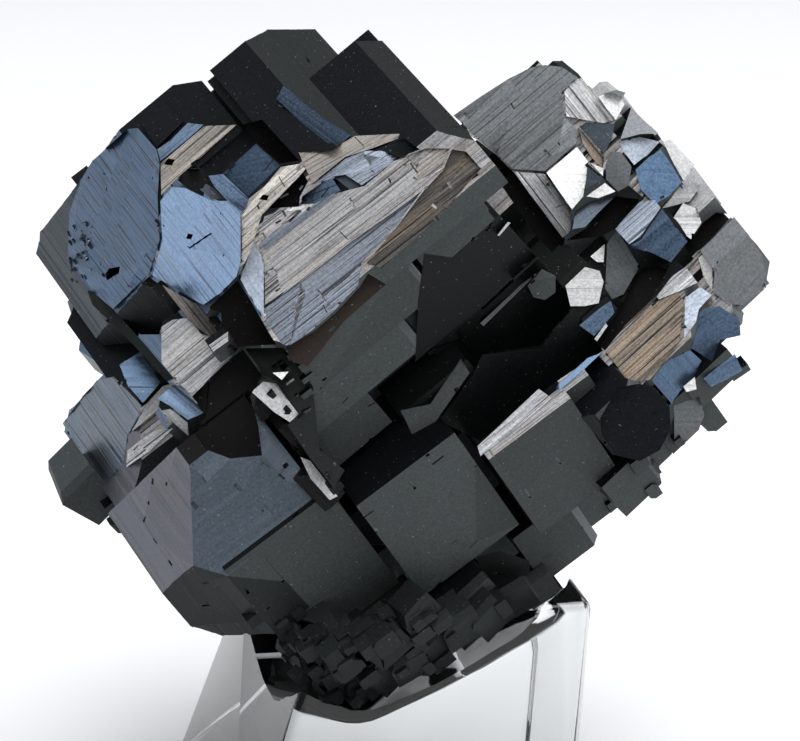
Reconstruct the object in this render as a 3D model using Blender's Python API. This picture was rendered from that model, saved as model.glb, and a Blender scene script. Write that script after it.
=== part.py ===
"""Magnetite specimen on a clear acrylic stand.

The stone is one solid group of intergrown crystals. Each crystal is a block of the cubic lattice:
flat faces at chosen distances along the three lattice directions, with its edges cut by the
rhombic dodecahedron, as magnetite grows. The stand is a leaning clear block with a scooped seat.

Frame: metres, +Z up, the specimen's front towards -Y, origin at the middle of the stand's base.
"""

import math

import bmesh
import bpy
import numpy as np
from mathutils import Matrix, Vector

MM = 0.001

# Driving dimensions, in millimetres.
STONE_PLACE = (2.9, 0.6, 38.0)
STONE_LEAN = 17.0
STAND_HEIGHT = 22.0
STAND_BASE_WIDTH = 27.5
STAND_TOP_WIDTH = 21.5
STAND_BASE_DEPTH = 29.0
STAND_TOP_DEPTH = 26.0
STAND_TOP_SHIFT = 5.0
STAND_TURN = 12.0
STAND_EDGE = 0.7
SEAT_CENTRE = (1.6, -6.4, 42.6)
SEAT_RADII = (21.0, 32.5, 30.1)

# The lattice of the largest crystal seen from straight in front:
# x to the right, y up, z towards the viewer.
LATTICE_A = (0.795, 0.606, -0.030)
LATTICE_B = (-0.435, 0.604, 0.668)
LATTICE_C = (0.423, -0.518, 0.744)

# Faces that cut a block's edges and corners, named by the sides they lie between.
# A small letter is the positive side and a capital the negative one.
FACES = {
    "a": (1, 0, 0),
    "A": (-1, 0, 0),
    "b": (0, 1, 0),
    "B": (0, -1, 0),
    "c": (0, 0, 1),
    "C": (0, 0, -1),
    "ab": (1, 1, 0),
    "aB": (1, -1, 0),
    "Ab": (-1, 1, 0),
    "AB": (-1, -1, 0),
    "bc": (0, 1, 1),
    "bC": (0, 1, -1),
    "Bc": (0, -1, 1),
    "BC": (0, -1, -1),
    "ac": (1, 0, 1),
    "aC": (1, 0, -1),
    "Ac": (-1, 0, 1),
    "AC": (-1, 0, -1),
    "abC": (1, 1, -1),
    "ABc": (-1, -1, 1),
    "ABC": (-1, -1, -1),
}

# Each group of crystals keeps one lattice, turned a little against the largest crystal's:
# its own origin in millimetres, the axis it is turned about, and the angle in degrees.
MAIN = ((0.0, 0.0, 0.0), LATTICE_C, 3.2)
LOW = ((0.0, 0.0, 0.0), (0.0, 0.0, 1.0), -0.5)
LEFT = ((0.0, 0.0, 0.0), (0.0, 0.0, 1.0), 0.5)
RIGHT = ((16.0, 8.0, 4.0), (0.0, 0.0, 1.0), 6.0)


def lattice():
    """The lattice directions as the columns of a rotation."""
    return Matrix((LATTICE_A, LATTICE_B, LATTICE_C)).transposed()


def convex_body(faces, centre):
    """The corners of the body inside all the faces, each a (normal, distance) pair in millimetres."""
    normals = np.array([tuple(normal) for normal, _ in faces])
    distances = np.array([distance for _, distance in faces])
    corners = []
    count = len(faces)
    for i in range(count):
        for j in range(i + 1, count):
            for k in range(j + 1, count):
                three = normals[[i, j, k]]
                if abs(np.linalg.det(three)) < 1e-6:
                    continue
                corner = np.linalg.solve(three, distances[[i, j, k]])
                if np.all(normals @ corner <= distances + 1e-6):
                    corners.append(corner)
    if len(corners) < 4:
        raise ValueError("a crystal's faces don't enclose a body near " + str(centre))
    return corners


def add_crystal(mesh, faces, centre):
    """Adds one closed crystal to the mesh."""
    made = []
    for corner in convex_body(faces, centre):
        if all((Vector(corner) - vert.co).length > 1e-4 for vert in made):
            made.append(mesh.verts.new(Vector(corner)))
    hull = bmesh.ops.convex_hull(mesh, input=made, use_existing_faces=False)
    loose = [item for item in hull["geom_interior"] if isinstance(item, bmesh.types.BMVert)]
    bmesh.ops.delete(mesh, geom=loose, context="VERTS")


def crystal(mesh, group, a, b, c, **cuts):
    """One block of a group's lattice, between the given limits, with its named edges cut back."""
    origin, axis, angle = group
    turn = Matrix.Rotation(math.radians(angle), 3, Vector(axis)) @ lattice()
    limits = {"a": a[1], "A": -a[0], "b": b[1], "B": -b[0], "c": c[1], "C": -c[0]}
    limits.update(cuts)
    faces = []
    for name, distance in limits.items():
        normal = turn @ Vector(FACES[name])
        size = normal.length
        normal.normalize()
        faces.append((normal, distance / size + normal.dot(Vector(origin))))
    add_crystal(mesh, faces, origin)


def small_crystal(mesh, place, size, turns):
    """A small block standing a little askew in the lattice, with two of its edges cut."""
    spin, lean, turn = (math.radians(angle) for angle in turns)
    rotation = Matrix.Rotation(spin, 3, "Z") @ Matrix.Rotation(lean, 3, "X") @ Matrix.Rotation(turn, 3, "Y")
    rotation = rotation @ lattice()
    half = {"a": size[0] / 2, "b": size[1] / 2, "c": size[2] / 2}
    faces = []
    for name in ("a", "A", "b", "B", "c", "C"):
        normal = rotation @ Vector(FACES[name])
        faces.append((normal, half[name.lower()] + normal.dot(Vector(place))))
    for name, back in (("bc", 0.5), ("Ab", 0.7)):
        normal = rotation @ Vector(FACES[name])
        normal.normalize()
        reach = (half[name[0].lower()] + half[name[1].lower()] - back) / math.sqrt(2.0)
        faces.append((normal, reach + normal.dot(Vector(place))))
    add_crystal(mesh, faces, place)


def largest_crystal(mesh):
    """The large crystal at the upper left, with its stepped top and its long striated face."""
    crystal(mesh, MAIN, (-9, 15.4), (16.8, 22.3), (-8, 10.2), bc=29.1, Ab=25.9, Ac=15.5, ab=36)
    crystal(mesh, MAIN, (-9, 1.6), (17.5, 24.4), (-2.2, 9.6), bc=28.95, Ab=26.0)
    crystal(mesh, MAIN, (-9.2, 6.0), (12.8, 18), (0.3, 10.12), Ac=16.8, ac=15.6)
    crystal(mesh, MAIN, (-9.3, 2.8), (9.4, 17), (0.6, 10.05), Ac=18.1, ac=12.2)
    crystal(mesh, MAIN, (-9.9, -2.9), (5.4, 12), (0, 9.97), Ac=19.5)
    long_end = {"Ab": 27.3, "bC": 41, "bc": 9.9, "Ac": 1.8, "AB": 9, "BC": 20, "abC": 41.6}
    crystal(mesh, MAIN, (-17.4, 2.6), (4, 22.3), (-29.6, -2), **long_end)
    crystal(mesh, MAIN, (-10.9, -1.9), (9, 23.6), (-9.4, 3.9), Ab=27.0, bc=26.0, Ac=9.9)
    crystal(mesh, MAIN, (-4.5, 3.2), (15, 24.9), (-2.6, 5), Ab=27.2, bc=26.9)
    crystal(mesh, MAIN, (-1, 4.6), (15, 24.6), (0.4, 4.6), bc=26.84)
    crystal(mesh, MAIN, (-6, 8.7), (8, 20.5), (-18.8, 3.4), bC=37.7, Ab=25.4)
    crystal(mesh, MAIN, (2.9, 9), (8, 23.0), (-19, 3.2), ab=30.5, bC=38.2)
    crystal(mesh, MAIN, (3.6, 12.2), (4, 24.2), (-19, 3.0), ab=31.4, bC=38.7, Ab=21.0, abC=47.9)
    crystal(mesh, MAIN, (8.6, 15.9), (-3, 10.9), (-22.8, -9.7))


def inner_crystals(mesh):
    """The crystals in the middle, which all the others grow out of."""
    crystal(mesh, RIGHT, (-10, 4.7), (-8.6, 2.1), (-8.1, 2.4), bc=2.6)
    crystal(mesh, RIGHT, (3, 8.7), (-6.9, 3.2), (-7.9, -1.4), bc=-1.3)
    crystal(mesh, MAIN, (-15, 13.5), (-10, 13), (-15, 5.5), Ab=20, AB=18, Ac=17, bC=22, ac=14)
    crystal(mesh, MAIN, (-14, 10), (-15, 4), (-18, 2), AB=22, Bc=10, aB=18, AC=24, aC=20)
    crystal(mesh, LOW, (-17, 3), (-13, -2), (-6, 8), ABc=24, Bc=17)


def stepped_hollow(mesh):
    """The stepped blocks in the dark hollow right of the middle."""
    crystal(mesh, MAIN, (6.5, 13.0), (7.2, 15.4), (-2.1, 8.0))
    crystal(mesh, MAIN, (11.3, 13.8), (4.2, 7.6), (-1.8, 8.6))
    crystal(mesh, MAIN, (3.0, 8), (5, 13.4), (-2.4, 7.0))
    crystal(mesh, MAIN, (-2.2, 4.6), (3.1, 5.1), (-1.6, 9.6))
    crystal(mesh, MAIN, (4, 12.6), (-3, 5.2), (-2.7, 6.4))


def lower_blocks(mesh):
    """The row of cube-like blocks across the lower front."""
    crystal(mesh, LOW, (-9.3, 0.1), (-8, 4.1), (2, 14.0))
    crystal(mesh, LOW, (1, 8.9), (-9.3, 1.4), (2, 15), bc=15.6)
    crystal(mesh, LOW, (7.0, 11.2), (-6, 1.0), (2, 13.4), bc=13.3)
    crystal(mesh, LOW, (-1, 4.8), (-15.5, -9.4), (0, 13.5), ac=17.6)
    crystal(mesh, LOW, (2, 11.2), (-13.6, -7.5), (-4, 10.5), ac=17.6)
    crystal(mesh, LOW, (0, 9.2), (-18.4, -11), (-6, 8.8), aB=25.6)
    crystal(mesh, LOW, (-20.3, -10.2), (-7, 5.3), (0, 12.2))


def left_crystals(mesh):
    """The crystals at the lower left and below the large crystal's left end."""
    crystal(mesh, LEFT, (-25.5, -11), (-3, 11), (-12, 12.0), bc=17, Ab=28.6, Ac=32.5, bC=7.6, AB=27)
    crystal(mesh, LEFT, (-25, -12), (-4, 5.6), (-21, -7), Ab=24, bc=-3.8, bC=21.5)
    crystal(mesh, LEFT, (-15, -7), (5, 16.2), (-6, 2.8), bc=15.5, Ab=29.2)
    small_crystal(mesh, (-25.9, -9.0, -11), (4.2, 5.0, 4.6), (8, 10, -14))
    small_crystal(mesh, (-25.6, 4.2, -15), (3.4, 3.8, 3.8), (-20, 12, 10))
    small_crystal(mesh, (-24.0, 1.6, -12), (3.4, 3.4, 4.0), (10, -6, 8))
    small_crystal(mesh, (-17.0, -3.0, 8), (3.6, 2.6, 2.8), (6, 4, -6))
    small_crystal(mesh, (-10.3, -1.9, 14), (2.6, 2.4, 2.2), (-6, 6, 4))
    small_crystal(mesh, (-6.2, -8.8, 13), (3.6, 1.4, 1.6), (-84, 0, 10))


def right_crystals(mesh):
    """The cluster of middle-sized crystals on the right."""
    crystal(mesh, RIGHT, (-4, 7.6), (-6.1, 11.4), (-10.6, -5.5), bc=1.2, Ab=13)
    crystal(mesh, RIGHT, (-3, 4.6), (-7, 6.7), (-12, -0.8), Ab=5.1)
    crystal(mesh, RIGHT, (2, 9.4), (-5.8, 9.4), (-9.1, -4.8), ab=16.5, bc=1.3)
    crystal(mesh, RIGHT, (3, 9.2), (-2, 10.0), (-10.9, -8.3), ab=18.6)
    crystal(mesh, RIGHT, (7.4, 10.6), (0, 7.6), (-7.9, -5.7), ab=17.7)
    crystal(mesh, RIGHT, (3, 8.0), (-5.5, 5.8), (-8.3, -3.4), bc=1.1)
    crystal(mesh, RIGHT, (5, 10.4), (-4.7, 5.4), (-6.7, -4.1))
    crystal(mesh, RIGHT, (5.2, 10.2), (-4.3, 3.0), (-5.7, -0.2), bc=0.6, ac=9.5)
    crystal(mesh, RIGHT, (7.3, 10.8), (-4.2, 1.1), (-5.2, -0.5))
    crystal(mesh, RIGHT, (7.1, 10.3), (-5.9, -1.0), (-4.1, 1.8))
    crystal(mesh, RIGHT, (1.5, 5.8), (-3.1, 4.1), (-4.9, 3.0), bc=5.9)
    crystal(mesh, RIGHT, (-4.5, -0.9), (-3.7, 3.8), (-5.1, 3.9), bc=5.5)
    crystal(mesh, RIGHT, (-5.4, -1.6), (-3.9, 1.4), (-4.6, 4.9), bc=5.4)
    crystal(mesh, RIGHT, (-5.2, 4.4), (-4.5, -0.6), (-4.2, 8.8), bc=5.2, ac=9.8)
    crystal(mesh, RIGHT, (1, 5.8), (-8, -3.8), (-5.9, 7.1), bc=0.8, ac=12.2)
    crystal(mesh, RIGHT, (-2, 2.6), (-9.5, -6.6), (-5.2, 9.4))
    crystal(mesh, RIGHT, (4, 10.2), (-7.4, -3.0), (-6.3, 6.6), bc=-0.2, ac=15.0)
    crystal(mesh, RIGHT, (-9.6, -4.1), (-8.9, -1.6), (-2, 9.7), ac=4.4, aB=3.4, AB=16.6, Ac=18.4, ab=-6.6)
    crystal(mesh, RIGHT, (-5.2, -0.6), (-9.8, -6.2), (-4, 8.6), ac=7)
    crystal(mesh, RIGHT, (-5.9, -1.1), (-11.3, -7), (-3.8, 9.1), aB=8.2)
    crystal(mesh, RIGHT, (-8.4, -4.6), (-11.4, -8), (-2, 8.9), aB=5.4)
    crystal(mesh, RIGHT, (-12.0, -6.8), (-12.4, -8.1), (-2, 9.5), ac=1.4, aB=4.2)


def fine_crystals(mesh):
    """The small blocks crowded together at the bottom."""
    small_crystal(mesh, (-7.3, -22.0, 4.2), (3.4, 3.0, 3.6), (8, 5, 6))
    small_crystal(mesh, (-5.6, -23.4, 5.0), (3.2, 3.2, 3.0), (-5, 8, -4))
    small_crystal(mesh, (-3.7, -24.1, 3.4), (3.0, 3.0, 3.4), (4, -6, 9))
    small_crystal(mesh, (-1.7, -23.2, 5.2), (2.8, 3.4, 3.0), (9, 5, -5))
    small_crystal(mesh, (0.2, -22.3, 5.8), (3.0, 2.8, 3.2), (-8, 3, 5))
    small_crystal(mesh, (2.1, -21.1, 5.1), (3.0, 3.2, 3.0), (6, 8, 3))
    small_crystal(mesh, (4.2, -19.6, 5.9), (3.2, 3.0, 3.0), (-4, -3, 8))
    small_crystal(mesh, (6.3, -18.8, 5.0), (3.0, 3.2, 3.2), (10, 4, 2))
    small_crystal(mesh, (-4.6, -21.6, 7.9), (3.2, 3.4, 3.0), (-10, 4, 5))
    small_crystal(mesh, (-1.4, -20.6, 8.9), (3.4, 3.0, 3.2), (5, 7, -6))
    small_crystal(mesh, (1.2, -18.8, 8.8), (3.2, 3.2, 3.0), (10, -4, 4))
    small_crystal(mesh, (-6.7, -20.5, 6.5), (3.8, 3.6, 4.2), (-7, 6, 8))
    small_crystal(mesh, (8.6, -17.2, 4.0), (3.2, 3.2, 3.2), (-6, 4, -5))
    small_crystal(mesh, (-4.5, -21.7, 3.7), (5.4, 4.8, 5.4), (3, 2, 4))
    small_crystal(mesh, (0.0, -20.4, 4.1), (5.4, 4.8, 5.0), (-3, 4, 2))
    small_crystal(mesh, (4.8, -17.8, 3.1), (5.4, 4.8, 5.0), (5, 2, -3))


def back_crystals(mesh):
    """The blocks that close the group behind."""
    crystal(mesh, MAIN, (-13, 1), (-6, 9), (-27, -10), bC=30, AC=34, aC=22, BC=30)
    crystal(mesh, MAIN, (-1, 12), (-14, -1), (-22, -6), aC=30, BC=32, aB=21)
    crystal(mesh, MAIN, (-19, -5), (-14, -1.7), (-15.6, 1), AC=28, BC=26, AB=28)
    crystal(mesh, RIGHT, (-9, 5.1), (-10, 4.3), (-17, -3.5), aC=18, BC=24)
    crystal(mesh, RIGHT, (-12, -1), (-14, -7), (-10, 3), BC=20, aB=9)
    crystal(mesh, LOW, (-12, 2), (-19, -9), (-8, 6), BC=24, ABC=32)
    crystal(mesh, LEFT, (-19, -9), (-3, 8), (-24, -10), AC=40)
    rounded = {"bC": 36.5, "BC": 21.5, "aC": 32, "AC": 35, "AB": 7, "Ab": 25}
    crystal(mesh, MAIN, (-12.6, 11.7), (-0.6, 16.6), (-24.7, -11.4), **rounded)


def in_world(mesh):
    """Turns the crystals from the front view's frame, which leans back, into the part's frame."""
    lean = math.radians(STONE_LEAN)
    upright = Matrix.Rotation(math.radians(90.0) - lean, 4, "X")
    place = Matrix.Translation(Vector(STONE_PLACE) * MM)
    bmesh.ops.transform(mesh, matrix=place @ upright @ Matrix.Scale(MM, 4), verts=mesh.verts)
    bmesh.ops.recalc_face_normals(mesh, faces=mesh.faces)


def material(name, colour, roughness, metallic):
    made = bpy.data.materials.new(name)
    made.use_nodes = True
    shader = made.node_tree.nodes["Principled BSDF"]
    shader.inputs["Base Color"].default_value = colour
    shader.inputs["Roughness"].default_value = roughness
    shader.inputs["Metallic"].default_value = metallic
    return made


def new_object(name, mesh, slot=None):
    data = bpy.data.meshes.new(name)
    mesh.to_mesh(data)
    mesh.free()
    made = bpy.data.objects.new(name, data)
    bpy.context.scene.collection.objects.link(made)
    if slot:
        data.materials.append(slot)
    return made


def as_cutter(made):
    made.hide_render = True
    made.display_type = "WIRE"
    return made


def boolean(target, operation, other):
    step = target.modifiers.new(operation.lower(), "BOOLEAN")
    step.operation = operation
    step.solver = "EXACT"
    step.object = other
    return step


def build_stone(slot):
    blocks = bmesh.new()
    largest_crystal(blocks)
    stepped_hollow(blocks)
    lower_blocks(blocks)
    left_crystals(blocks)
    right_crystals(blocks)
    fine_crystals(blocks)
    back_crystals(blocks)
    in_world(blocks)
    stone = new_object("magnetite_crystals", blocks, slot)
    middle = bmesh.new()
    inner_crystals(middle)
    in_world(middle)
    core = as_cutter(new_object("stone_middle", middle))
    boolean(stone, "UNION", core).use_self = True
    return stone


def stand_block():
    """The leaning block: a smaller rectangle above a larger one, shifted to the right."""
    mesh = bmesh.new()
    levels = (
        (0.0, STAND_BASE_WIDTH, STAND_BASE_DEPTH, 0.0),
        (STAND_HEIGHT, STAND_TOP_WIDTH, STAND_TOP_DEPTH, STAND_TOP_SHIFT),
    )
    rings = []
    for height, width, depth, shift in levels:
        ring = []
        for across, along in ((-1, -1), (1, -1), (1, 1), (-1, 1)):
            x = shift + across * width / 2
            y = along * depth / 2
            ring.append(mesh.verts.new((x * MM, y * MM, height * MM)))
        rings.append(ring)
    mesh.faces.new(list(reversed(rings[0])))
    mesh.faces.new(rings[1])
    for i in range(4):
        j = (i + 1) % 4
        mesh.faces.new((rings[0][i], rings[0][j], rings[1][j], rings[1][i]))
    turn = Matrix.Rotation(math.radians(STAND_TURN), 3, "Z")
    bmesh.ops.rotate(mesh, cent=(0.0, 0.0, 0.0), matrix=turn, verts=mesh.verts)
    bmesh.ops.recalc_face_normals(mesh, faces=mesh.faces)
    bmesh.ops.bevel(
        mesh,
        geom=list(mesh.edges),
        offset=STAND_EDGE * MM,
        segments=2,
        profile=0.5,
        affect="EDGES",
        material=-1,
    )
    return mesh


def build_stand(slot):
    stand = new_object("acrylic_stand", stand_block(), slot)
    ball = bmesh.new()
    bmesh.ops.create_uvsphere(ball, u_segments=64, v_segments=40, radius=1.0)
    size = Matrix.Diagonal((SEAT_RADII[0] * MM, SEAT_RADII[1] * MM, SEAT_RADII[2] * MM, 1.0))
    place = Matrix.Translation(Vector(SEAT_CENTRE) * MM)
    bmesh.ops.transform(ball, matrix=place @ size, verts=ball.verts)
    seat = as_cutter(new_object("seat_scoop", ball))
    boolean(stand, "DIFFERENCE", seat)
    return stand


def main():
    for old in list(bpy.data.objects):
        bpy.data.objects.remove(old, do_unlink=True)
    magnetite = material("magnetite", (0.045, 0.047, 0.052, 1.0), 0.3, 0.85)
    acrylic = material("clear_acrylic", (0.93, 0.96, 0.96, 1.0), 0.03, 0.0)
    build_stone(magnetite)
    build_stand(acrylic)


main()
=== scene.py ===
"""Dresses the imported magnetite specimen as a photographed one: striated and pitted crystal faces,
many small crystals between the large ones, and a polished clear stand.

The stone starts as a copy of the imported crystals. Small crystals are joined to it, pits are cut
into it, its faces are labelled by the lattice face that they are, and each kind of face gets its
growth lines. Millimetres are used inside, and every piece is in metres in the frame's own place.
"""

import math
import random

import bmesh
import bpy
from bpy.props import FloatProperty, FloatVectorProperty, IntProperty, PointerProperty
from mathutils import Matrix, Vector
from mathutils.bvhtree import BVHTree


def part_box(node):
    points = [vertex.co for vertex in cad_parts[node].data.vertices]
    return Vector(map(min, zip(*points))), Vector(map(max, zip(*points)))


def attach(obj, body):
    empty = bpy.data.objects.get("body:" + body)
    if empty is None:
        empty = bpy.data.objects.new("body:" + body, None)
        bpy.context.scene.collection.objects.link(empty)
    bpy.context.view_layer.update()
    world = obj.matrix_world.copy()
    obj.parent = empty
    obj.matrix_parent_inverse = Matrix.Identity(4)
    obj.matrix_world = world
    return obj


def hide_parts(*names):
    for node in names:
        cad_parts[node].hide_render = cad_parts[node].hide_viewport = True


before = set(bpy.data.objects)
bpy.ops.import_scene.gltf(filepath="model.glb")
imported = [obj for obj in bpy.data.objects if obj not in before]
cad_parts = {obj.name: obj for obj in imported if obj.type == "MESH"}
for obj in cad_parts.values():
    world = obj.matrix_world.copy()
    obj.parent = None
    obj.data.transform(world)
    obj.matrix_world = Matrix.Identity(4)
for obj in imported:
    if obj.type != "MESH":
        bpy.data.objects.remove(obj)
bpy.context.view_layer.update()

bl_info = {
    "name": "Magnetite Specimen",
    "version": (1, 0, 0),
    "blender": (4, 5, 0),
    "location": "3D View > Sidebar > Specimen",
    "description": "Builds a magnetite crystal group on a clear stand from its packed frame",
    "category": "Object",
}

MM = 0.001

# The stone's place and lean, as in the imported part.
STONE_PLACE = Vector((2.9, 0.6, 38.0)) * MM
STONE_LEAN = math.radians(17.0)

# From the stone's front view, x right, y up and z towards the viewer, to the frame.
FRONT = Matrix.Rotation(math.radians(90.0) - STONE_LEAN, 3, "X")

# The largest crystal's lattice directions in the front view.
LATTICE_A = Vector((0.795, 0.606, -0.030))
LATTICE_B = Vector((-0.435, 0.604, 0.668))
LATTICE_C = Vector((0.423, -0.518, 0.744))

# The camera stands this far in front of the stone's middle, square to the front view.
CAMERA_DISTANCE = 0.300
CAMERA_FIELD = 0.064


def lattice():
    """The lattice directions in the frame, as the columns of a rotation."""
    return FRONT @ Matrix((LATTICE_A, LATTICE_B, LATTICE_C)).transposed()


LATTICE = lattice()


def at_front(x, y, z=0.0):
    """A point of the front view, in millimetres, as a place in the frame."""
    return STONE_PLACE + FRONT @ Vector((x, y, z)) * MM


def new_piece(name, mesh, *materials):
    """A mesh object at the origin, with its place in its mesh."""
    data = bpy.data.meshes.new(name)
    mesh.to_mesh(data)
    mesh.free()
    piece = bpy.data.objects.new(name, data)
    bpy.context.scene.collection.objects.link(piece)
    for material in materials:
        data.materials.append(material)
    return piece


def apply_modifiers(piece):
    """Replaces a piece's mesh by what its modifiers make of it."""
    graph = bpy.context.evaluated_depsgraph_get()
    made = bpy.data.meshes.new_from_object(piece.evaluated_get(graph))
    old = piece.data
    piece.modifiers.clear()
    piece.data = made
    bpy.data.meshes.remove(old)
    made.name = piece.name


def nearest_face(normal):
    """The lattice face nearest to a normal, as three whole numbers, or None if none is near."""
    local = LATTICE.transposed() @ normal
    best = None
    reach = math.cos(math.radians(12.0))
    for h in (-1, 0, 1):
        for k in (-1, 0, 1):
            for m in (-1, 0, 1):
                if h == k == m == 0:
                    continue
                fit = Vector((h, k, m)).normalized().dot(local)
                if fit > reach:
                    reach = fit
                    best = (h, k, m)
    return best


def growth_direction(face, kind):
    """The direction of a face's growth lines: the lattice direction that its kind doesn't name."""
    normal = face.normal
    if kind and kind.count(0) == 1:
        wanted = LATTICE.col[kind.index(0)].copy()
    elif kind and kind.count(0) == 2:
        wanted = LATTICE.col[0 if kind[0] == 0 else 1].copy()
    else:
        wanted = max(face.edges, key=lambda edge: edge.calc_length())
        wanted = wanted.verts[1].co - wanted.verts[0].co
    wanted = wanted - normal * wanted.dot(normal)
    wanted.normalize()
    best = wanted
    reach = 0.0
    for edge in face.edges:
        line = edge.verts[1].co - edge.verts[0].co
        length = line.length
        if length < 0.4 * MM:
            continue
        line.normalize()
        if line.dot(wanted) < 0:
            line = -line
        if line.dot(wanted) > math.cos(math.radians(9.0)) and length > reach:
            reach = length
            best = line
    return best


def packed_stone():
    """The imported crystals' mesh, merged and with its flat faces joined up."""
    mesh = bmesh.new()
    mesh.from_mesh(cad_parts["magnetite_crystals"].data)
    bmesh.ops.remove_doubles(mesh, verts=mesh.verts, dist=2e-6)
    flatten(mesh)
    bmesh.ops.recalc_face_normals(mesh, faces=mesh.faces)
    return mesh


def flatten(mesh):
    """Joins the faces that lie in one plane, and closes up slivers."""
    bmesh.ops.dissolve_degenerate(mesh, dist=4e-6, edges=mesh.edges)
    bmesh.ops.dissolve_limit(
        mesh, angle_limit=math.radians(0.4), verts=mesh.verts, edges=mesh.edges
    )


# Patches where small crystals crowd on the stone: the side that they are seen from, the middle and
# half size of the patch in that view (right and up, millimetres), how many there are, and the
# smallest and largest across.
CROWDED = (
    ("FRONT", (-1.6, -22.6), (10.0, 4.2), 90, (0.7, 1.9)),
    ("FRONT", (-26.0, 9.6), (1.3, 2.4), 34, (0.15, 0.4)),
    ("FRONT", (-8.4, -3.0), (1.6, 4.6), 26, (0.3, 0.9)),
    ("FRONT", (22.6, -8.2), (4.6, 5.6), 14, (0.8, 1.6)),
    ("BACK", (0.0, 0.0), (27.0, 23.0), 110, (1.2, 3.6)),
    ("BELOW", (1.0, 2.0), (18.0, 14.0), 50, (1.0, 2.8)),
    ("LEFT", (2.0, -2.0), (13.0, 15.0), 26, (0.8, 2.2)),
    ("RIGHT", (-2.0, 0.0), (13.0, 16.0), 26, (0.8, 2.2)),
)

# Each side as the directions to the right, up and towards the viewer, in the front view's frame.
SIDES = {
    "FRONT": (Vector((1, 0, 0)), Vector((0, 1, 0)), Vector((0, 0, 1))),
    "BACK": (Vector((-1, 0, 0)), Vector((0, 1, 0)), Vector((0, 0, -1))),
    "LEFT": (Vector((0, 0, 1)), Vector((0, 1, 0)), Vector((-1, 0, 0))),
    "RIGHT": (Vector((0, 0, -1)), Vector((0, 1, 0)), Vector((1, 0, 0))),
    "BELOW": (Vector((1, 0, 0)), Vector((0, 0, 1)), Vector((0, -1, 0))),
}
SIDE_DISTANCE = 60.0


def seen_point(tree, side, x, y):
    """Where the line of sight at a place in a side's view meets the stone, with the normal there."""
    right, up, toward = SIDES[side]
    start = right * x + up * y + toward * SIDE_DISTANCE
    place, normal, index, _ = tree.ray_cast(at_front(*start), FRONT @ -toward)
    return place, normal, index


def small_turn(chance, most):
    """A random turn of the lattice by at most so many degrees about a random line."""
    axis = Vector((chance.gauss(0, 1), chance.gauss(0, 1), chance.gauss(0, 1)))
    return Matrix.Rotation(math.radians(chance.uniform(0, most)), 3, axis.normalized()) @ LATTICE


def add_block(mesh, place, turn, size):
    """Adds a block of the given size, turned and placed, and returns its vertices."""
    matrix = Matrix.Translation(place) @ turn.to_4x4() @ Matrix.Diagonal((*size, 1.0))
    return bmesh.ops.create_cube(mesh, size=1.0, matrix=matrix)["verts"]


def add_small_crystal(mesh, place, turn, size, chance):
    """A small block of crystal with a few of its edges cut flat."""
    verts = add_block(mesh, place, turn, size)
    edges = sorted({edge for vert in verts for edge in vert.link_edges}, key=lambda edge: edge.index)
    cut = chance.sample(edges, chance.choice((1, 2, 2, 3)))
    bmesh.ops.bevel(
        mesh,
        geom=cut,
        offset=min(size) * chance.uniform(0.15, 0.4),
        segments=1,
        profile=0.5,
        affect="EDGES",
        material=-1,
        clamp_overlap=True,
    )


def near_front(tree, place, normal):
    """Whether a crystal here would show among the faces that the front view traces."""
    if (FRONT.transposed() @ normal).z > 0.1:
        return True
    seen = tree.ray_cast(*sight(traced_point(place)))[0]
    return seen is not None and (seen - place).length < 2.2 * MM


def crowd_crystals(tree, chance, limits):
    """All the small crystals that crowd on the stone's surface."""
    mesh = bmesh.new()
    low, high = limits
    for side, middle, half, count, across in CROWDED:
        for _ in range(count):
            x = middle[0] + half[0] * chance.uniform(-1, 1)
            y = middle[1] + half[1] * chance.uniform(-1, 1)
            place, normal, _ = seen_point(tree, side, x, y)
            mean = chance.uniform(*across) * MM
            size = [mean * chance.uniform(0.6, 1.3) for _ in range(3)]
            turn = small_turn(chance, 7.0)
            if place is None:
                continue
            if side != "FRONT" and near_front(tree, place, normal):
                continue
            place = place - normal * mean * chance.uniform(0.05, 0.42)
            reach = max(size) * 0.87
            if all(low[i] + reach < place[i] < high[i] - reach for i in range(3)):
                mesh.edges.index_update()
                add_small_crystal(mesh, place, turn, size, chance)
    return mesh


# The part of the traced picture whose seams stay free of small crystals.
CLEAN = ((95, 110), (300, 130), (490, 140), (490, 205), (400, 275), (300, 355), (262, 330), (200, 318),
         (110, 312), (60, 255))


def seam_crystals(mesh, source, chance, limits, count):
    """Adds small crystals along the seams where the large ones meet."""
    low, high = limits
    seams = [edge for edge in source.edges if edge.is_manifold]
    seams = [edge for edge in seams if edge.calc_face_angle_signed() < -0.5]
    weights = [edge.calc_length() for edge in seams]
    for edge in chance.choices(seams, weights=weights, k=count):
        place = edge.verts[0].co.lerp(edge.verts[1].co, chance.random())
        outward = (edge.link_faces[0].normal + edge.link_faces[1].normal).normalized()
        in_front = (FRONT.transposed() @ outward).z > 0.0
        mean = chance.choice((0.15, 0.2, 0.3, 0.4, 0.6)) * (0.5 if in_front else 1.0) * MM
        size = [mean * chance.uniform(0.7, 1.8) for _ in range(3)]
        turn = small_turn(chance, 12.0)
        if in_front and inside(traced_point(place), CLEAN):
            continue
        place = place + outward * mean * chance.uniform(-0.1, 0.3)
        reach = max(size) * 0.87
        if all(low[i] + reach < place[i] < high[i] - reach for i in range(3)):
            mesh.edges.index_update()
            add_small_crystal(mesh, place, turn, size, chance)


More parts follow.
